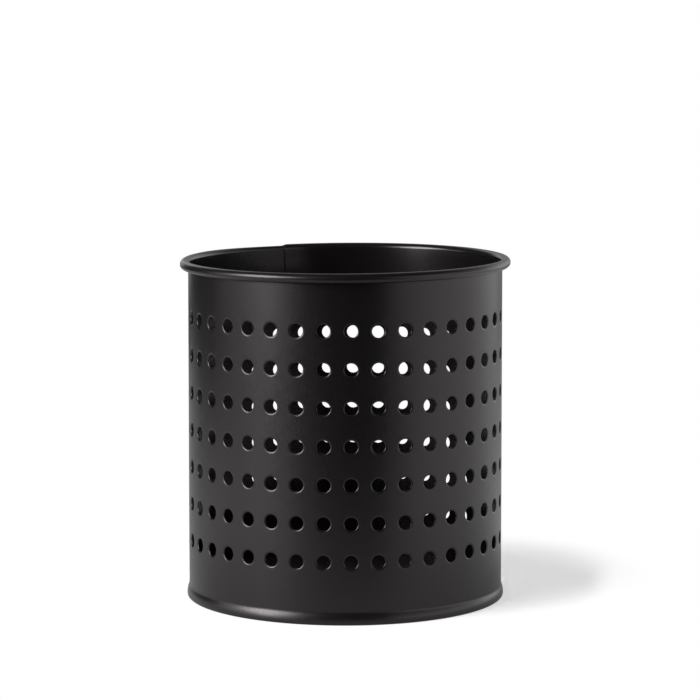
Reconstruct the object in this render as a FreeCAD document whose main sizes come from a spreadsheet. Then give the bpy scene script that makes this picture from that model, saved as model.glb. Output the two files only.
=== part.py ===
import FreeCAD, Part
import math
import os
import Sketcher

# Perforated cutlery cup: a punched sheet rolled into a cylinder with a lap seam and a curled rim,
# standing in a pressed base pan whose folded edge grips the foot of the wall.
# Millimetres and degrees. The cup stands on z = 0 round the Z axis, with its front towards -Y.

# Driving sizes, one sheet cell each
SIZES = {
    # rolled sheet
    "overall_height": 128.4,
    "wall_outer_diameter": 118.5,
    "wall_sheet": 0.5,
    # hollow rim: outside diameter of the curl, and how far the sheet is rolled round
    "curl_diameter": 3.6,
    "curl_sweep_angle": 300,
    # lap seam: its middle, measured round from the front, and the overlap of the two edges
    "seam_angle": 201.4,
    "lap_width": 5.0,
    "lap_curl_sweep_angle": 200,
    # perforation: pitches from hole centre to hole centre, measured round the middle of the sheet,
    # and the least height from the top row's centres to the top of the rim
    "hole_diameter": 5.0,
    "hole_pitch_around": 10.0,
    "hole_pitch_up": 14.0,
    "lowest_row_height": 23.0,
    "least_rim_band": 20.0,
    # base pan: a raised floor, and a channel whose outer leg is the bead round the foot
    "base_sheet": 0.5,
    "floor_height": 4.0,
    "floor_bend_radius": 1.2,
    "bead_height": 5.0,
    "bead_shoulder_height": 1.8,
    "bead_proud": 0.7,
    "bead_edge": 0.15,
    "foot_outer_radius": 0.9,
    "foot_inner_radius": 0.3,
    # fit of the wall in the channel, and how far a punch runs past the sheet
    "crimp_clearance": 0.05,
    "punch_overrun": 1.0,
}


class Size:
    """A measure kept twice: as a number, and as the sheet expression that gives it."""

    def __init__(self, number, text):
        self.number = number
        self.text = text

    def joined(self, sign, other, number):
        other_text = other.text if isinstance(other, Size) else str(other)
        return Size(number, f"({self.text} {sign} {other_text})")

    def __add__(self, other):
        return self.joined("+", other, self.number + number_of(other))

    def __sub__(self, other):
        return self.joined("-", other, self.number - number_of(other))

    def __mul__(self, other):
        return self.joined("*", other, self.number * number_of(other))

    def __truediv__(self, other):
        return self.joined("/", other, self.number / number_of(other))

    def __floor__(self):
        return Size(math.floor(self.number), f"floor({self.text})")


def number_of(measure):
    return measure.number if isinstance(measure, Size) else measure


def size(alias):
    return Size(SIZES[alias], f"Sizes.{alias}")


def angle_round(length, radius):
    """The angle, in degrees, that a length takes up round a radius."""
    half_turn = 180
    return length * half_turn / (radius * math.pi)


# Measures that several features share
FULL_TURN = 360
WALL_OUTER = size("wall_outer_diameter") / 2
WALL_INNER = WALL_OUTER - size("wall_sheet")
WALL_MIDDLE = WALL_OUTER - size("wall_sheet") / 2
CURL_OUTER = size("curl_diameter") / 2
CURL_INNER = CURL_OUTER - size("wall_sheet")
CURL_CENTRE_RADIUS = WALL_INNER + CURL_OUTER
CURL_CENTRE_HEIGHT = size("overall_height") - CURL_OUTER
PITCH_ANGLE = angle_round(size("hole_pitch_around"), WALL_MIDDLE)
COLUMN_COUNT = math.floor(WALL_MIDDLE * math.tau / size("hole_pitch_around"))
PATTERN_ANGLE = PITCH_ANGLE * (COLUMN_COUNT - 1)
SEAM_HALF_GAP_ANGLE = (PATTERN_ANGLE * -1 + FULL_TURN) / 2
ROWS_HEIGHT = size("overall_height") - size("lowest_row_height") - size("least_rim_band")
ROW_COUNT = math.floor(ROWS_HEIGHT / size("hole_pitch_up")) + 1

# Names for a sketch's points and axes, and the upright axis
START, END, CENTRE = range(1, 4)
SKETCH_X_AXIS, SKETCH_Y_AXIS = range(-1, -3, -1)
UPRIGHT = FreeCAD.Vector(0, 0, 1)


def make_sheet(doc):
    sheet = doc.addObject("Spreadsheet::Sheet", "Sizes")
    for row, (alias, number) in enumerate(SIZES.items(), start=1):
        sheet.set(f"A{row}", alias.replace("_", " "))
        sheet.set(f"B{row}", str(number))
        sheet.setAlias(f"B{row}", alias)
    doc.recompute()


def make_body(doc, label):
    body = doc.addObject("PartDesign::Body", label)
    body.Label = label
    return body


def origin_feature(body, role):
    return next(item for item in body.Origin.OriginFeatures if item.Role == role)


def make_sketch(body, name):
    """A sketch on the upright plane through the axis: its X is the radius and its Y the height."""
    sketch = body.newObject("Sketcher::SketchObject", name)
    sketch.AttachmentSupport = [(origin_feature(body, "XZ_Plane"), "")]
    sketch.MapMode = "FlatFace"
    return sketch


def add_feature(body, kind, name):
    """A solid feature that joins or cuts without refining or loosening the faces it meets."""
    feature = body.newObject(f"PartDesign::{kind}", name)
    feature.Refine = False
    feature.FuzzyTolerance = 0
    return feature


def revolve(body, sketch, name):
    feature = add_feature(body, "Revolution", name)
    feature.Profile = sketch
    feature.ReferenceAxis = (sketch, ["V_Axis"])
    return feature


def dimension(sketch, name, measure, kind, *where):
    """Adds a dimension to a sketch and binds it to the sheet."""
    number = math.radians(measure.number) if kind == "Angle" else measure.number
    index = sketch.addConstraint(Sketcher.Constraint(kind, *where, number))
    sketch.renameConstraint(index, name)
    sketch.setExpression(f"Constraints.{name}", measure.text)


def place_point(sketch, name, x, y, *point):
    """Holds a sketch point at x and y, where a plain 0 puts it on the axis."""
    for axis, measure, kind in (
        (SKETCH_Y_AXIS, x, "DistanceX"),
        (SKETCH_X_AXIS, y, "DistanceY"),
    ):
        if isinstance(measure, Size):
            dimension(sketch, f"{name}_{kind}", measure, kind, *point)
        else:
            sketch.addConstraint(Sketcher.Constraint("PointOnObject", *point, axis))


def turning_arc(start, end, radius, turn):
    """The shorter arc from start to end, turning left where turn is 1 and right where it is -1."""
    chord = end - start
    to_centre = math.sqrt(radius**2 - (chord.Length / 2) ** 2)
    left = UPRIGHT.cross(chord).normalize()
    centre = start + chord / 2 + left * (turn * to_centre)
    ends = (start, end) if turn > 0 else (end, start)
    first, last = (math.atan2(point.y - centre.y, point.x - centre.x) for point in ends)
    if last < first:
        last += math.tau
    return Part.ArcOfCircle(Part.Circle(centre, UPRIGHT, radius), first, last)


def draw_section(sketch, steps):
    """Draws a closed section. A step is the point it runs to and, where it is round, radius and turn."""
    points = [FreeCAD.Vector(number_of(step[0]), number_of(step[1]), 0) for step in steps]
    drawn = []
    for index, (x, y, *bend) in enumerate(steps):
        start, end = points[index - 1], points[index]
        if bend:
            radius, turn = bend
            edge = sketch.addGeometry(turning_arc(start, end, radius.number, turn))
            drawn.append((edge, START, END) if turn > 0 else (edge, END, START))
            dimension(sketch, f"radius_{index}", radius, "Radius", edge)
        else:
            drawn.append((sketch.addGeometry(Part.LineSegment(start, end)), START, END))
        edge, _, last = drawn[index]
        place_point(sketch, f"point_{index}", x, y, edge, last)
    for (edge, first, _), (before, _, last) in zip(drawn, drawn[-1:] + drawn[:-1]):
        sketch.addConstraint(Sketcher.Constraint("Coincident", before, last, edge, first))


def draw_curled_sheet(sketch, outer, inner, foot, sweep):
    """Draws an upright sheet on the -X side, with its top edge rolled outwards round the rim's centre."""
    centre_x = CURL_CENTRE_RADIUS * -1
    centre = FreeCAD.Vector(centre_x.number, CURL_CENTRE_HEIGHT.number, 0)
    curls, faces = [], []
    for radius in (outer, inner):
        circle = Part.Circle(centre, UPRIGHT, radius.number)
        arc = Part.ArcOfCircle(circle, 0, math.radians(sweep.number))
        low = FreeCAD.Vector(arc.StartPoint.x, foot.number, 0)
        curls.append(arc)
        faces.append(Part.LineSegment(low, arc.StartPoint))
    tip_line = Part.LineSegment(curls[0].EndPoint, curls[1].EndPoint)
    foot_line = Part.LineSegment(faces[0].StartPoint, faces[1].StartPoint)
    outer_curl, inner_curl, inner_face, outer_face, tip, base = sketch.addGeometry(
        curls + faces + [tip_line, foot_line]
    )
    for kind, *where in (
        ("Coincident", outer_curl, CENTRE, inner_curl, CENTRE),
        ("Coincident", tip, START, outer_curl, END),
        ("Coincident", tip, END, inner_curl, END),
        ("Coincident", base, START, inner_face, START),
        ("Coincident", base, END, outer_face, START),
        ("Tangent", inner_face, END, outer_curl, START),
        ("Tangent", outer_face, END, inner_curl, START),
        ("Vertical", inner_face),
        ("Horizontal", base),
    ):
        sketch.addConstraint(Sketcher.Constraint(kind, *where))
    place_point(sketch, "centre", centre_x, CURL_CENTRE_HEIGHT, outer_curl, CENTRE)
    for name, curl, radius in (("outer", outer_curl, outer), ("inner", inner_curl, inner)):
        dimension(sketch, f"{name}_radius", radius, "Radius", curl)
        dimension(sketch, f"{name}_sweep", sweep, "Angle", curl)
    dimension(sketch, "foot_height", foot, "DistanceY", base, START)


def add_lap(body):
    """The seam's inner layer, over the sheet from above the base pan up and round the rim."""
    section = make_sketch(body, "lap_section")
    draw_curled_sheet(
        section,
        CURL_OUTER + size("wall_sheet"),
        CURL_OUTER - size("wall_sheet") / 2,
        size("floor_height") + size("crimp_clearance"),
        size("lap_curl_sweep_angle"),
    )
    # The section is drawn on -X, and turned until it lies half the seam's gap before -Y.
    quarter_turn = 90
    turn = SEAM_HALF_GAP_ANGLE * -1 + quarter_turn
    sketch_upright = FreeCAD.Vector(0, 1, 0)
    section.AttachmentOffset = FreeCAD.Placement(
        FreeCAD.Vector(), FreeCAD.Rotation(sketch_upright, turn.number)
    )
    section.setExpression("AttachmentOffset.Rotation.Angle", turn.text)
    lap = revolve(body, section, "lap")
    lap.Midplane = True
    lap.setExpression("Angle", angle_round(size("lap_width"), WALL_INNER).text)


def punch_column(body):
    """One upright column of holes on -Y, punched outwards from a plane just inside the lap."""
    column = make_sketch(body, "hole_column")
    plane_radius = WALL_INNER - size("wall_sheet") - size("punch_overrun")
    column.setExpression("AttachmentOffset.Base.z", plane_radius.text)
    radius = size("hole_diameter") / 2
    for row in range(ROW_COUNT.number):
        height = size("lowest_row_height") + size("hole_pitch_up") * row
        middle = FreeCAD.Vector(0, height.number, 0)
        hole = column.addGeometry(Part.Circle(middle, UPRIGHT, radius.number))
        place_point(column, f"hole_{row}", 0, height, hole, CENTRE)
        dimension(column, f"hole_{row}_radius", radius, "Radius", hole)
    punch = add_feature(body, "Pocket", "punched_column")
    punch.Profile = column
    punch.Reversed = True
    punch.setExpression("Length", (WALL_OUTER + size("punch_overrun") - plane_radius).text)
    return punch


def repeat_round(body, feature):
    """Repeats a feature round the axis, leaving the seam's gap after the last copy."""
    pattern = add_feature(body, "PolarPattern", "punched_columns")
    pattern.Originals = [feature]
    pattern.Axis = (origin_feature(body, "Z_Axis"), [""])
    pattern.setExpression("Angle", PATTERN_ANGLE.text)
    pattern.setExpression("Occurrences", COLUMN_COUNT.text)
    body.Tip = pattern


def make_wall(doc):
    """The punched sheet. Its first column of holes lies on -Y until the seam is turned to its place."""
    body = make_body(doc, "perforated_wall")
    section = make_sketch(body, "shell_section")
    draw_curled_sheet(section, CURL_OUTER, CURL_INNER, size("base_sheet"), size("curl_sweep_angle"))
    revolve(body, section, "shell")
    doc.recompute()
    shell_volume = body.Shape.Volume
    add_lap(body)
    doc.recompute()
    lapped_volume = body.Shape.Volume
    punch = punch_column(body)
    doc.recompute()
    if not punch.Shape.Volume < lapped_volume or not lapped_volume > shell_volume:
        raise RuntimeError("the lap adds nothing, or the holes cut nothing")
    repeat_round(body, punch)
    seam_turn = size("seam_angle") + SEAM_HALF_GAP_ANGLE
    body.Placement = FreeCAD.Placement(
        FreeCAD.Vector(), FreeCAD.Rotation(UPRIGHT, seam_turn.number)
    )
    body.setExpression("Placement.Rotation.Angle", seam_turn.text)
    return body


def make_base(doc):
    """The pressed pan: raised floor, leg down inside the wall, standing ring and outer flange."""
    body = make_body(doc, "base_pan")
    left, right = 1, -1
    sheet = size("base_sheet")
    floor = size("floor_height")
    floor_under = floor - sheet
    bend = size("floor_bend_radius")
    bend_under = bend - sheet
    leg_outer = WALL_INNER - size("crimp_clearance")
    leg_inner = leg_outer - sheet
    flange_inner = WALL_OUTER + size("crimp_clearance")
    edge = flange_inner + size("bead_edge")
    bead = WALL_OUTER + size("bead_proud")
    shoulder = size("bead_shoulder_height")
    top = size("bead_height")
    foot_outer = size("foot_outer_radius")
    foot_inner = size("foot_inner_radius")
    # The flange swells from its thin crimped edge to the bead in two equal arcs.
    swell, fall = bead - edge, top - shoulder
    swell_radius = (swell * swell + fall * fall) / (swell * 4)
    section = make_sketch(body, "pan_section")
    draw_section(
        section,
        [
            (0, floor),
            (leg_outer - bend, floor),
            (leg_outer, floor - bend, bend, right),
            (leg_outer, sheet),
            (flange_inner, sheet),
            (flange_inner, top),
            (edge, top),
            ((edge + bead) / 2, (top + shoulder) / 2, swell_radius, left),
            (bead, shoulder, swell_radius, right),
            (bead, foot_outer),
            (bead - foot_outer, 0, foot_outer, right),
            (leg_inner + foot_inner, 0),
            (leg_inner, foot_inner, foot_inner, right),
            (leg_inner, floor_under - bend_under),
            (leg_inner - bend_under, floor_under, bend_under, left),
            (0, floor_under),
        ],
    )
    revolve(body, section, "pan")
    return body


def check_and_write(doc, pieces):
    """Stops at any failed object or bad solid, then writes one file for each piece."""
    failed = [item.Name for item in doc.Objects if {"Invalid", "Error"} & set(item.State)]
    for piece in pieces:
        if piece.Shape.isNull() or not piece.Shape.isValid() or len(piece.Shape.Solids) != 1:
            failed.append(piece.Label)
    if failed:
        raise RuntimeError(f"failed: {', '.join(failed)}")
    os.makedirs("parts", exist_ok=True)
    for piece in pieces:
        piece.Shape.exportStep(f"parts/{piece.Label}.step")
        print(f"{piece.Label}: {piece.Shape.Volume:.1f} cubic mm")


def main():
    doc = FreeCAD.newDocument("cutlery_cup")
    make_sheet(doc)
    pieces = [make_wall(doc), make_base(doc)]
    doc.recompute()
    check_and_write(doc, pieces)


main()
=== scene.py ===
import math

import bpy
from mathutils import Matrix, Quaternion, Vector


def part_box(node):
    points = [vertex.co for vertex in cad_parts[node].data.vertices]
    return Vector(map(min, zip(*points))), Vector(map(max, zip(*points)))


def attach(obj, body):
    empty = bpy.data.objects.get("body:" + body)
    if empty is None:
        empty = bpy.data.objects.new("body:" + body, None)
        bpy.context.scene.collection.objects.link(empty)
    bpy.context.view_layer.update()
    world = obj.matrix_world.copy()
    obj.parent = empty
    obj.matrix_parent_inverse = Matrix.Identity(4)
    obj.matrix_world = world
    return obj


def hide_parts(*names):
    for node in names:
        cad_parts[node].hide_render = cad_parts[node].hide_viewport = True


# Perforated cutlery cup in satin black powder coat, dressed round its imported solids.
# Lengths are metres. The cup stands on z = 0, with its front towards -Y.

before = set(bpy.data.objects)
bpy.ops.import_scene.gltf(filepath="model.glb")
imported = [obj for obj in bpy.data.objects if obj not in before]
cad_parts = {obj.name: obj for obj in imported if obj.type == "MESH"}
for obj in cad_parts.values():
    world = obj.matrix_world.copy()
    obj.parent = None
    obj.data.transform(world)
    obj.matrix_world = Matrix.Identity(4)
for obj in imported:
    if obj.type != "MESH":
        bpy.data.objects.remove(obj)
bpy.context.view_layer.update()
WALL_LOW, WALL_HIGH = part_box("perforated_wall")
BASE_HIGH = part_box("base_pan")[1]
MM = 0.001

# Rolled sheet: its gauge and curl, and what follows from the solids' boxes
SHEET = 0.5 * MM
CURL_RADIUS = 1.8 * MM
CURL_SWEEP = math.radians(300)
RIM_CLEARANCE = 0.005 * MM
FOOT_HEIGHT = WALL_LOW.z
CURL_CENTRE_HEIGHT = WALL_HIGH.z - SHEET - CURL_RADIUS
CURL_CENTRE_RADIUS = min(WALL_HIGH.x, WALL_HIGH.y) - CURL_RADIUS - RIM_CLEARANCE
WALL_INNER = CURL_CENTRE_RADIUS - CURL_RADIUS
WALL_OUTER = WALL_INNER + SHEET
WALL_MIDDLE = WALL_INNER + SHEET / 2
CURL_START = CURL_CENTRE_HEIGHT - FOOT_HEIGHT
CURL_MIDDLE = CURL_RADIUS - SHEET / 2

# Lap seam: its middle round from the front, the overlap, and how the layers ease past each other.
# The far end lies inside the near end on the wall, and outside it in the curl. In the curl the far
# end also loses a share of its thickness, so that the rim's step is a ramp.
SEAM_ANGLE = math.radians(201.5)
LAP_WIDTH = 5.0 * MM
LAP_CLEARANCE = 0.02 * MM
LAP_STEP = SHEET + LAP_CLEARANCE
LAP_FOOT = 4.05 * MM
FAR_EASE_AT_FOOT = 3.4 * MM
FAR_EASE_ABOVE = 18.0 * MM
FAR_EASE_HEIGHT = 40.0 * MM
NEAR_EASE = 42.0 * MM
CROSSING = 12.0 * MM
THINNED_WIDTH = 1.5 * MM
THINNED_SHARE = 0.65

# Rim a little out of square: how far it is low on the whole, and its rise per length to +X and to +Y
RIM_LOW = 0.18 * MM
RIM_RISE_X = 0.0064
RIM_RISE_Y = 0.0046

# Perforation: pitches, lowest row, how much the rows climb once round and where round they are true,
# and the hole with its rolled outer lip and eased inner lip
PITCH_AROUND = 10.0 * MM
PITCH_UP = 14.0 * MM
LOWEST_ROW_HEIGHT = 23.0 * MM
ROWS = 7
ROW_CLIMB = 0.5 * MM
ROW_CLIMB_MIDDLE = 0.5
HOLE_RADIUS = 2.45 * MM
LIP_WIDTH = 0.8 * MM
LIP_DEPTH = 0.38 * MM
INNER_LIP = 0.1 * MM
COLUMNS = math.floor(math.tau * WALL_MIDDLE / PITCH_AROUND)
SHEET_LENGTH = math.tau * WALL_MIDDLE + LAP_WIDTH
MARGIN = (SHEET_LENGTH - COLUMNS * PITCH_AROUND) / 2
FIRST_CELL_HEIGHT = LOWEST_ROW_HEIGHT - PITCH_UP / 2 - FOOT_HEIGHT
LAST_CELL_HEIGHT = FIRST_CELL_HEIGHT + ROWS * PITCH_UP

# Mesh: its steps, the distance at which points weld, and the rounding of sharp edges
CELL_STEPS = 8
NEAR_MARGIN_STEPS = 2
FAR_MARGIN_STEPS = 5
LIP_STEPS = 4
INNER_LIP_STEPS = 1
CURL_STEPS = 24
BAND_STEPS = 5
WELD = 1e-7
EDGE_ROUND = 0.1 * MM
EDGE_ROUND_STEPS = 2
EDGE_ROUND_ANGLE = math.radians(60)
BASE_SHARP_ANGLE = math.radians(50)

# Base pan: floor, channel and the bead that swells from the wall and turns under
BASE_SHEET = 0.5 * MM
FLOOR_HEIGHT = 4.0 * MM
FLOOR_BEND = 1.2 * MM
LEG_CLEARANCE = 0.05 * MM
FLANGE_CLEARANCE = 0.015 * MM
FLANGE_EDGE = 0.03 * MM
BEAD_PROUD = 0.05 * MM
BEAD_OUTER = BASE_HIGH.x + BEAD_PROUD
BEAD_TOP = BASE_HIGH.z
BEAD_TURN_HEIGHT = 3.9 * MM
BEAD_SHOULDER = 1.2 * MM
FOOT_OUTER_BEND = 0.9 * MM
FOOT_INNER_BEND = 0.3 * MM
ARC_STEPS = 10
TURN_STEPS = 240

# Coat: its darkest and palest colour, the tint of its gloss, its roughness and the noises in it
COAT_DARK = (0.0030, 0.0024, 0.0027, 1)
COAT_PALE = (0.0042, 0.0034, 0.0038, 1)
GLOSS_TINT = (1.0, 0.93, 0.97, 1)
INNER_ROUGHNESS = 0.22
OUTER_ROUGHNESS = 0.32
FLOOR_DULLNESS = 0.3
GRAIN_ROUGHNESS = 0.03
MOTTLE_SCALE, MOTTLE_DETAIL = 60, 3
GRAIN_SCALE, GRAIN_DETAIL = 1400, 2
PEBBLE_SCALE, PEBBLE_DETAIL = 900, 1
PEBBLE_STRENGTH = 0.12
PEBBLE_HEIGHT = 0.02 * MM
NOISE_BAND = (0.3, 0.7)

# Lamps and room: how far the lamps stand, the room's dim light, and the stretch of the backdrop that
# the coat mirrors, as its azimuth and elevation, how near a ray has to point to it, and the share
LAMP_DISTANCE = 1.7
HIGH_LAMP_DISTANCE = 0.475
ROOM_LIGHT = 0.03
BACKDROP_WAY = (165, 25)
BACKDROP_NEARNESS = (0.72, 0.97)
BACKDROP_SHARE = 0.5

# Floor: how far it reaches from the cup's axis, its greys, and the patch in which it shows the shadow
FLOOR_FRONT = 0.26
FLOOR_BACK = 0.7
FLOOR_LEFT = 0.5
FLOOR_RIGHT = 1.6
FLOOR_GAP = 0.05 * MM
PAPER_GREY = 0.2
SHADE_GREY = 0.51
SHADE_GLOW = 0.59
SHADE_MIDDLE = (0.02, 0.038, 0)
SHADE_REACH = (0.074, 0.106)

# How much of the floor's white the coat mirrors: more further out at the two pale sides, and least in
# a dim patch in front of the cup
PALE_SIDES = (-62, 90)
PALE_NEARNESS = (0.5, 0.9)
PALE_REACH = (0.09, 0.25)
PALE_SHARE = 0.52
PLAIN_SHARE = 0.45
DIM_SHARE = 0.2
DIM_MIDDLE = (0, -0.22, 0)
DIM_REACH = (0.05, 0.165)

# Camera: fitted to the hole grid, the rim and the foot in the photograph
LENS_MM = 154.86
SENSOR_MM = 36
CAMERA_SHIFT = -0.15
CAMERA_PLACE = Vector((0.0, -1.1311, 0.2327))
CAMERA_TARGET = Vector((0.0018, 0.0, 0.1329))


def smooth(share):
    """Eases from 0 to 1."""
    share = min(max(share, 0.0), 1.0)
    return share * share * (3 - 2 * share)


def add_object(name, points, faces):
    mesh = bpy.data.meshes.new(name)
    mesh.from_pydata(points, [], faces)
    mesh.shade_smooth()
    piece = bpy.data.objects.new(name, mesh)
    bpy.context.scene.collection.objects.link(piece)
    return piece


class FlatSheet:
    """The punched sheet before it is rolled.

    A point is so far along the sheet, up it, and deep from its outside.
    """

    def __init__(self):
        self.numbers = {}
        self.points = []
        self.faces = []
        self.edges = {}

    def number(self, point):
        key = tuple(round(value / WELD) for value in point)
        if key not in self.numbers:
            self.numbers[key] = len(self.points)
            self.points.append(point)
        return self.numbers[key]

    def face(self, corners):
        self.faces.append([self.number(corner) for corner in corners])

    def outline(self, loop):
        """Notes the edges round a patch, so that those with no neighbour can be closed."""
        for start, end in zip(loop, loop[1:] + loop[:1]):
            key = self.number((*start, 0)), self.number((*end, 0))
            self.edges[key] = (start, end)

    def plain_patch(self, loop):
        self.outline(loop)
        self.face([(*corner, 0) for corner in loop])
        self.face([(*corner, SHEET) for corner in reversed(loop)])

    def punched_patch(self, loop, middle, profile):
        """A patch with a hole. The profile holds the hole's radius and depth from outside to inside."""
        self.outline(loop)
        count = len(loop)
        corner_angle = -math.pi * 3 / 4
        rings = [[(*corner, 0) for corner in loop]]
        for radius, deep in profile:
            ring = []
            for step in range(count):
                angle = corner_angle + math.tau * step / count
                along = middle[0] + radius * math.cos(angle)
                up = middle[1] + radius * math.sin(angle)
                ring.append((along, up, deep))
            rings.append(ring)
        rings.append([(*corner, SHEET) for corner in loop])
        for near, far in zip(rings, rings[1:]):
            for step in range(count):
                after = (step + 1) % count
                self.face([near[step], near[after], far[after], far[step]])

    def close_edges(self):
        for (first, last), (start, end) in self.edges.items():
            if (last, first) not in self.edges:
                self.face([(*end, 0), (*start, 0), (*start, SHEET), (*end, SHEET)])


def hole_profile():
    """Radius and depth round a hole's edge: rolled outer lip, straight land, eased inner lip."""
    profile = []
    for step in range(LIP_STEPS + 1):
        angle = math.pi / 2 * step / LIP_STEPS
        radius = HOLE_RADIUS + LIP_WIDTH * (1 - math.sin(angle))
        profile.append((radius, LIP_DEPTH * (1 - math.cos(angle))))
    for step in range(INNER_LIP_STEPS + 1):
        angle = math.pi / 2 * step / INNER_LIP_STEPS
        radius = HOLE_RADIUS + INNER_LIP * (1 - math.cos(angle))
        profile.append((radius, SHEET - INNER_LIP * (1 - math.sin(angle))))
    return profile


def spread(first, last, steps):
    return [first + (last - first) * step / steps for step in range(steps)]


def cell_loop(along, up):
    """The grid points round a hole's cell, from its lower left corner to the right and round."""
    steps = range(CELL_STEPS)
    across = [PITCH_AROUND * step / CELL_STEPS for step in steps]
    height = [PITCH_UP * step / CELL_STEPS for step in steps]
    far_along, far_up = along + PITCH_AROUND, up + PITCH_UP
    loop = [(along + step, up) for step in across]
    loop += [(far_along, up + step) for step in height]
    loop += [(far_along - step, far_up) for step in across]
    loop += [(along, far_up - step) for step in height]
    return loop


def punched_sheet():
    """The flat sheet: a grid of punched cells, with plain margins at the seam, the foot and the rim."""
    sheet = FlatSheet()
    cells_end = SHEET_LENGTH - MARGIN
    alongs = spread(0, MARGIN, NEAR_MARGIN_STEPS)
    alongs += spread(MARGIN, cells_end, COLUMNS * CELL_STEPS)
    alongs += spread(cells_end, SHEET_LENGTH, FAR_MARGIN_STEPS) + [SHEET_LENGTH]
    lap_foot = LAP_FOOT - FOOT_HEIGHT
    curl_length = CURL_MIDDLE * CURL_SWEEP
    ups = [0] + spread(lap_foot, FIRST_CELL_HEIGHT, BAND_STEPS)
    ups += spread(FIRST_CELL_HEIGHT, LAST_CELL_HEIGHT, ROWS * CELL_STEPS)
    ups += spread(LAST_CELL_HEIGHT, CURL_START, BAND_STEPS)
    ups += spread(CURL_START, CURL_START + curl_length, CURL_STEPS) + [CURL_START + curl_length]
    notch_start = SHEET_LENGTH - LAP_WIDTH - FAR_EASE_AT_FOOT
    for left, right in zip(alongs, alongs[1:]):
        for low, high in zip(ups, ups[1:]):
            in_columns = MARGIN - WELD < left and right < cells_end + WELD
            in_rows = FIRST_CELL_HEIGHT - WELD < low and high < LAST_CELL_HEIGHT + WELD
            notched = right > notch_start and high < lap_foot + WELD
            if not notched and not (in_columns and in_rows):
                sheet.plain_patch([(left, low), (right, low), (right, high), (left, high)])
    profile = hole_profile()
    for column in range(COLUMNS):
        along = MARGIN + PITCH_AROUND * column
        for row in range(ROWS):
            up = FIRST_CELL_HEIGHT + PITCH_UP * row
            middle = (along + PITCH_AROUND / 2, up + PITCH_UP / 2)
            sheet.punched_patch(cell_loop(along, up), middle, profile)
    sheet.close_edges()
    return sheet


def lap_inset(along, up):
    """How far a layer of the seam lies inside the wall's round. It is below 0 where one lies outside."""
    far_ease = FAR_EASE_AT_FOOT + (FAR_EASE_ABOVE - FAR_EASE_AT_FOOT) * smooth(up / FAR_EASE_HEIGHT)
    far_share = smooth((along - SHEET_LENGTH + LAP_WIDTH + far_ease) / far_ease)
    near_share = smooth((LAP_WIDTH + NEAR_EASE - along) / NEAR_EASE)
    crossed = smooth((up - CURL_START + CROSSING) / CROSSING)
    return LAP_STEP * (far_share * (1 - crossed) - near_share * crossed)


def rolled(along, up, deep):
    """Where a point of the flat sheet lies once it is bent round, lapped at the seam and curled."""
    thinned = THINNED_SHARE * smooth((along - SHEET_LENGTH + THINNED_WIDTH) / THINNED_WIDTH)
    thinned *= smooth((up - CURL_START) / THINNED_WIDTH)
    reach = CURL_RADIUS - SHEET + deep * (1 - thinned) + lap_inset(along, up)
    turn = max(up - CURL_START, 0) / CURL_MIDDLE
    radius = CURL_CENTRE_RADIUS - reach * math.cos(turn)
    angle = SEAM_ANGLE + (along - LAP_WIDTH / 2) / WALL_MIDDLE
    x, y = radius * math.sin(angle), -radius * math.cos(angle)
    height = FOOT_HEIGHT + min(up, CURL_START) + reach * math.sin(turn)
    rim_share = smooth((up - LAST_CELL_HEIGHT) / (CURL_START - LAST_CELL_HEIGHT))
    row_share = smooth(up / FIRST_CELL_HEIGHT) * (1 - rim_share)
    height += (RIM_RISE_X * x + RIM_RISE_Y * y - RIM_LOW) * rim_share
    height += ROW_CLIMB * (along / SHEET_LENGTH - ROW_CLIMB_MIDDLE) * row_share
    return Vector((x, y, height))


def make_wall(material):
    sheet = punched_sheet()
    wall = add_object("rolled_wall", [rolled(*point) for point in sheet.points], sheet.faces)
    wall.data.materials.append(material)
    edge_round = wall.modifiers.new("edge_round", "BEVEL")
    edge_round.width = EDGE_ROUND
    edge_round.segments = EDGE_ROUND_STEPS
    edge_round.limit_method = "ANGLE"
    edge_round.angle_limit = EDGE_ROUND_ANGLE
    wall.modifiers.new("even_shading", "WEIGHTED_NORMAL")
    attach(wall, "root")
    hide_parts("perforated_wall")


def arc(centre_radius, centre_height, bend, first, last):
    """Points of a round stretch of the base pan's section, from one angle to another."""
    points = []
    for step in range(ARC_STEPS + 1):
        angle = math.radians(first + (last - first) * step / ARC_STEPS)
        points.append((centre_radius + bend * math.cos(angle), centre_height + bend * math.sin(angle)))
    return points


def bead_curve(edge):
    """The bead's outside from its top edge: hollow at first, then swelling out to the shoulder."""
    swell = BEAD_OUTER - edge
    hollow, crown = BEAD_TOP - BEAD_TURN_HEIGHT, BEAD_TURN_HEIGHT - BEAD_SHOULDER
    slope = 2 * swell / (hollow + crown)
    points = []
    for step in range(ARC_STEPS):
        fall = hollow * step / ARC_STEPS
        points.append((edge + slope * fall**2 / (2 * hollow), BEAD_TOP - fall))
    for step in range(ARC_STEPS + 1):
        rise = crown * (1 - step / ARC_STEPS)
        points.append((BEAD_OUTER - slope * rise**2 / (2 * crown), BEAD_SHOULDER + rise))
    return points


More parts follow.
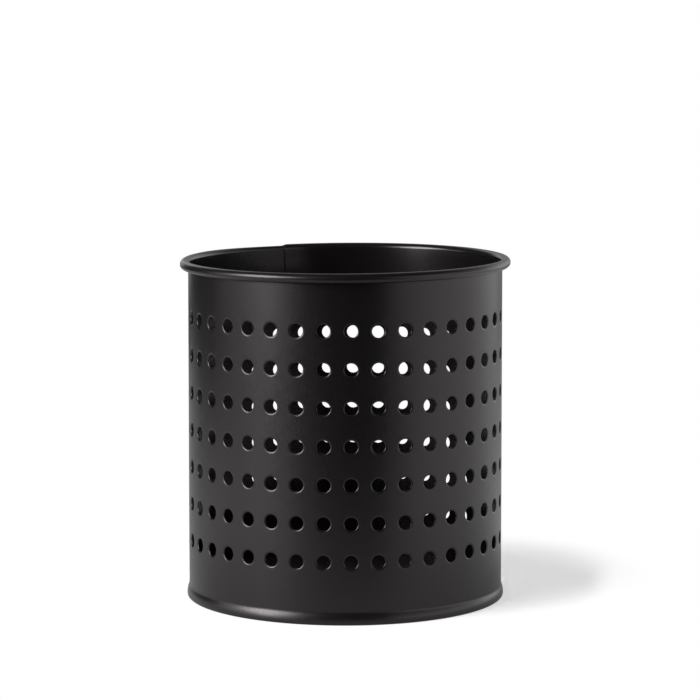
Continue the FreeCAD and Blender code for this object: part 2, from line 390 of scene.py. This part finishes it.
def base_section():
    """Radius and height round the pan's section, from the floor's middle out and back underneath."""
    leg_outer = WALL_INNER - LEG_CLEARANCE
    leg_inner = leg_outer - BASE_SHEET
    flange_inner = WALL_OUTER + FLANGE_CLEARANCE
    floor_under = FLOOR_HEIGHT - BASE_SHEET
    bend_radius, bend_height = leg_outer - FLOOR_BEND, FLOOR_HEIGHT - FLOOR_BEND
    section = [(0, FLOOR_HEIGHT), (bend_radius / 2, FLOOR_HEIGHT)]
    section += arc(bend_radius, bend_height, FLOOR_BEND, 90, 0)
    section += [(leg_outer, BASE_SHEET), (flange_inner, BASE_SHEET), (flange_inner, BEAD_TOP)]
    section += bead_curve(flange_inner + FLANGE_EDGE)
    section += arc(BEAD_OUTER - FOOT_OUTER_BEND, FOOT_OUTER_BEND, FOOT_OUTER_BEND, 0, -90)
    section += arc(leg_inner + FOOT_INNER_BEND, FOOT_INNER_BEND, FOOT_INNER_BEND, -90, -180)
    section += arc(bend_radius, bend_height, FLOOR_BEND - BASE_SHEET, 0, 90)
    return section + [(bend_radius / 2, floor_under), (0, floor_under)]


def make_base(material):
    """The base pan, its section turned round the axis."""
    section = base_section()
    top, *ring, under = section
    points = [(0, 0, top[1]), (0, 0, under[1])]
    for step in range(TURN_STEPS):
        angle = math.tau * step / TURN_STEPS
        points += [(radius * math.cos(angle), radius * math.sin(angle), z) for radius, z in ring]
    count = len(ring)
    faces = []
    for step in range(TURN_STEPS):
        here, there = 2 + step * count, 2 + (step + 1) % TURN_STEPS * count
        faces.append([0, here, there])
        faces.append([1, there + count - 1, here + count - 1])
        for place in range(count - 1):
            faces.append([here + place, here + place + 1, there + place + 1, there + place])
    base = add_object("pressed_base", points, faces)
    base.data.materials.append(material)
    base.data.set_sharp_from_angle(angle=BASE_SHARP_ANGLE)
    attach(base, "root")
    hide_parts("base_pan")


def new_material(name):
    material = bpy.data.materials.new(name)
    material.use_nodes = True
    return material, material.node_tree.nodes, material.node_tree.links


def noise(nodes, links, place, scale, detail):
    texture = nodes.new("ShaderNodeTexNoise")
    texture.inputs["Scale"].default_value = scale
    texture.inputs["Detail"].default_value = detail
    links.new(place, texture.inputs["Vector"])
    return texture.outputs["Fac"]


def map_range(nodes, links, source, from_range, to_range, kind="SMOOTHSTEP"):
    mapped = nodes.new("ShaderNodeMapRange")
    mapped.interpolation_type = kind
    mapped.inputs["From Min"].default_value, mapped.inputs["From Max"].default_value = from_range
    mapped.inputs["To Min"].default_value, mapped.inputs["To Max"].default_value = to_range
    links.new(source, mapped.inputs["Value"])
    return mapped.outputs["Result"]


def number_math(nodes, links, operation, *sources):
    node = nodes.new("ShaderNodeMath")
    node.operation = operation
    for source, socket in zip(sources, node.inputs):
        links.new(source, socket)
    return node.outputs["Value"]


def vector_math(nodes, links, operation, source, other=(0, 0, 0)):
    node = nodes.new("ShaderNodeVectorMath")
    node.operation = operation
    node.inputs[1].default_value = other
    links.new(source, node.inputs[0])
    gives_vector = operation in ("MULTIPLY", "NORMALIZE")
    return node.outputs["Vector" if gives_vector else "Value"]


def coat_roughness(nodes, links, place, grain):
    """Glossier inside the wall than outside it, dull on the base's floor, with a fine grain all over."""
    flat_place = vector_math(nodes, links, "MULTIPLY", place, (1, 1, 0))
    radius = vector_math(nodes, links, "LENGTH", flat_place)
    wall_band, wall_range = (WALL_INNER, WALL_OUTER), (INNER_ROUGHNESS, OUTER_ROUGHNESS)
    wall = map_range(nodes, links, radius, wall_band, wall_range)
    floor_edge = WALL_INNER - FLOOR_BEND
    floor = map_range(nodes, links, radius, (floor_edge - FLOOR_BEND, floor_edge), (FLOOR_DULLNESS, 0))
    grain_range = (-GRAIN_ROUGHNESS, GRAIN_ROUGHNESS)
    grain = map_range(nodes, links, grain, NOISE_BAND, grain_range, "LINEAR")
    return number_math(nodes, links, "ADD", number_math(nodes, links, "ADD", wall, floor), grain)


def powder_coat():
    """Satin black powder coat: near black with faint mottling, and the fine pebbling of baked powder."""
    material, nodes, links = new_material("satin_black_coat")
    shader = nodes["Principled BSDF"]
    place = nodes.new("ShaderNodeTexCoord").outputs["Object"]
    mottle = noise(nodes, links, place, MOTTLE_SCALE, MOTTLE_DETAIL)
    grain = noise(nodes, links, place, GRAIN_SCALE, GRAIN_DETAIL)
    pebble = noise(nodes, links, place, PEBBLE_SCALE, PEBBLE_DETAIL)
    tint = nodes.new("ShaderNodeMix")
    tint.data_type = "RGBA"
    tint.inputs["A"].default_value = COAT_DARK
    tint.inputs["B"].default_value = COAT_PALE
    links.new(mottle, tint.inputs["Factor"])
    links.new(tint.outputs["Result"], shader.inputs["Base Color"])
    links.new(coat_roughness(nodes, links, place, grain), shader.inputs["Roughness"])
    shader.inputs["Specular Tint"].default_value = GLOSS_TINT
    bump = nodes.new("ShaderNodeBump")
    bump.inputs["Strength"].default_value = PEBBLE_STRENGTH
    bump.inputs["Distance"].default_value = PEBBLE_HEIGHT
    links.new(pebble, bump.inputs["Height"])
    links.new(bump.outputs["Normal"], shader.inputs["Normal"])
    return material


def direction(azimuth, elevation):
    """Unit vector from angles in degrees. Azimuth is from the front round to +X."""
    azimuth, elevation = math.radians(azimuth), math.radians(elevation)
    level = math.cos(elevation)
    return Vector((level * math.sin(azimuth), -level * math.cos(azimuth), math.sin(elevation)))


def softbox(name, azimuth, elevation, width, height, radiance, roll=0, distance=LAMP_DISTANCE):
    """An area lamp that faces the middle of the cup. All its angles are in degrees.

    Its width and height are the angles that the cup sees.
    """
    lamp = bpy.data.lights.new(name, "AREA")
    lamp.shape = "RECTANGLE"
    lamp.size = 2 * distance * math.tan(math.radians(width / 2))
    lamp.size_y = 2 * distance * math.tan(math.radians(height / 2))
    lamp.energy = radiance * math.pi * lamp.size * lamp.size_y
    holder = bpy.data.objects.new(name, lamp)
    aim = direction(azimuth, elevation)
    turn = Quaternion((0, 0, 1), math.radians(roll))
    holder.location = Vector((0, 0, WALL_HIGH.z / 2)) + aim * distance
    holder.rotation_euler = (aim.to_track_quat("Z", "Y") @ turn).to_euler()
    holder.visible_camera = False
    bpy.context.scene.collection.objects.link(holder)
    return holder


def make_lights():
    """A softbox at the left with its glow, pale cards round the cup, and a high strip for the shadow."""
    softbox("left_softbox", azimuth=-61, elevation=22, width=33, height=30, radiance=11.8, roll=-30)
    softbox("left_low_glow", azimuth=-69, elevation=8, width=64, height=18, radiance=1.5)
    softbox("right_card", azimuth=86, elevation=18, width=100, height=40, radiance=0.52)
    softbox("right_low_card", azimuth=88, elevation=1, width=114, height=24, radiance=0.9)
    softbox("back_right_card", azimuth=136, elevation=12, width=44, height=28, radiance=0.6)
    softbox("back_left_card", azimuth=200, elevation=16, width=18, height=40, radiance=0.8)
    high_lamp = softbox(
        "high_lamp",
        azimuth=-27.8,
        elevation=73.6,
        width=3.6,
        height=26.7,
        radiance=95,
        roll=22,
        distance=HIGH_LAMP_DISTANCE,
    )
    high_lamp.visible_glossy = False


def seen_share(nodes, links, mirrored_share):
    """1 for the camera, a share of that for rays off gloss and through glass, and 0 for other light."""
    path = nodes.new("ShaderNodeLightPath").outputs
    mirrored = number_math(nodes, links, "MAXIMUM", path["Is Glossy Ray"], path["Is Transmission Ray"])
    return number_math(nodes, links, "MULTIPLY_ADD", mirrored, mirrored_share, path["Is Camera Ray"])


def mixed(nodes, links, share, first, second):
    mix = nodes.new("ShaderNodeMixShader")
    for source, socket in zip((share, first, second), mix.inputs):
        links.new(source, socket)
    return mix.outputs["Shader"]


def make_world():
    """A dark room with a white backdrop. The camera sees it all round, and the coat only from behind."""
    world = bpy.data.worlds.new("studio")
    world.use_nodes = True
    bpy.context.scene.world = world
    nodes, links = world.node_tree.nodes, world.node_tree.links
    room = nodes["Background"]
    room.inputs["Color"].default_value = (1, 1, 1, 1)
    room.inputs["Strength"].default_value = ROOM_LIGHT
    white = nodes.new("ShaderNodeBackground")
    white.inputs["Color"].default_value = (1, 1, 1, 1)
    way = nodes.new("ShaderNodeTexCoord").outputs["Generated"]
    nearness = vector_math(nodes, links, "DOT_PRODUCT", way, direction(*BACKDROP_WAY))
    behind = map_range(nodes, links, nearness, BACKDROP_NEARNESS, (0, BACKDROP_SHARE))
    share = seen_share(nodes, links, behind)
    surface = mixed(nodes, links, share, room.outputs[0], white.outputs[0])
    links.new(surface, nodes["World Output"].inputs["Surface"])


def grey_paper(nodes, grey):
    paper = nodes.new("ShaderNodeBsdfDiffuse")
    paper.inputs["Color"].default_value = (grey, grey, grey, 1)
    return paper.outputs["BSDF"]


def floor_white(nodes, links, place):
    """What is seen of the floor: paper with the cup's shadow near the cup, and plain white beyond it."""
    glow = nodes.new("ShaderNodeEmission")
    glow.inputs["Strength"].default_value = SHADE_GLOW
    near = nodes.new("ShaderNodeAddShader")
    links.new(grey_paper(nodes, SHADE_GREY), near.inputs[0])
    links.new(glow.outputs[0], near.inputs[1])
    far = nodes.new("ShaderNodeEmission")
    gap = vector_math(nodes, links, "DISTANCE", place, SHADE_MIDDLE)
    fade = map_range(nodes, links, gap, SHADE_REACH, (0, 1))
    return mixed(nodes, links, fade, near.outputs[0], far.outputs[0])


def floor_mirrored(nodes, links, place):
    """The share of the floor's white that the coat mirrors."""
    gap = vector_math(nodes, links, "DISTANCE", place, DIM_MIDDLE)
    least = map_range(nodes, links, gap, DIM_REACH, (DIM_SHARE, PLAIN_SHARE))
    reach = vector_math(nodes, links, "LENGTH", place)
    distance = map_range(nodes, links, reach, PALE_REACH, (0, 1))
    way = vector_math(nodes, links, "NORMALIZE", place)
    sides = [direction(azimuth, 0) for azimuth in PALE_SIDES]
    nearness = [vector_math(nodes, links, "DOT_PRODUCT", way, side) for side in sides]
    nearest = number_math(nodes, links, "MAXIMUM", *nearness)
    pale = map_range(nodes, links, nearest, PALE_NEARNESS, (0, PALE_SHARE))
    return number_math(nodes, links, "MULTIPLY_ADD", pale, distance, least)


def make_floor():
    """A pale plain floor that ends a little in front of the cup. It is white but for the cup's shadow.

    From below it is clear, so that the base can be looked at.
    """
    corners = [(-FLOOR_LEFT, -FLOOR_FRONT, 0), (FLOOR_RIGHT, -FLOOR_FRONT, 0)]
    corners += [(FLOOR_RIGHT, FLOOR_BACK, 0), (-FLOOR_LEFT, FLOOR_BACK, 0)]
    floor = add_object("floor", corners, [[0, 1, 2, 3]])
    floor.location.z = -FLOOR_GAP
    material, nodes, links = new_material("floor_paper")
    nodes.remove(nodes["Principled BSDF"])
    place = nodes.new("ShaderNodeTexCoord").outputs["Object"]
    share = seen_share(nodes, links, floor_mirrored(nodes, links, place))
    paper = grey_paper(nodes, PAPER_GREY)
    top = mixed(nodes, links, share, paper, floor_white(nodes, links, place))
    below = nodes.new("ShaderNodeNewGeometry").outputs["Backfacing"]
    clear = nodes.new("ShaderNodeBsdfTransparent")
    surface = mixed(nodes, links, below, top, clear.outputs[0])
    links.new(surface, nodes["Material Output"].inputs["Surface"])
    floor.data.materials.append(material)


def make_camera():
    camera = bpy.data.cameras.new("camera")
    camera.lens = LENS_MM
    camera.sensor_width = SENSOR_MM
    camera.shift_y = CAMERA_SHIFT
    holder = bpy.data.objects.new("camera", camera)
    holder.location = CAMERA_PLACE
    holder.rotation_euler = (CAMERA_TARGET - CAMERA_PLACE).to_track_quat("-Z", "Y").to_euler()
    bpy.context.scene.collection.objects.link(holder)
    bpy.context.scene.camera = holder


bpy.context.scene.view_settings.view_transform = "Standard"
make_camera()
coat = powder_coat()
make_wall(coat)
make_base(coat)
make_lights()
make_world()
make_floor()
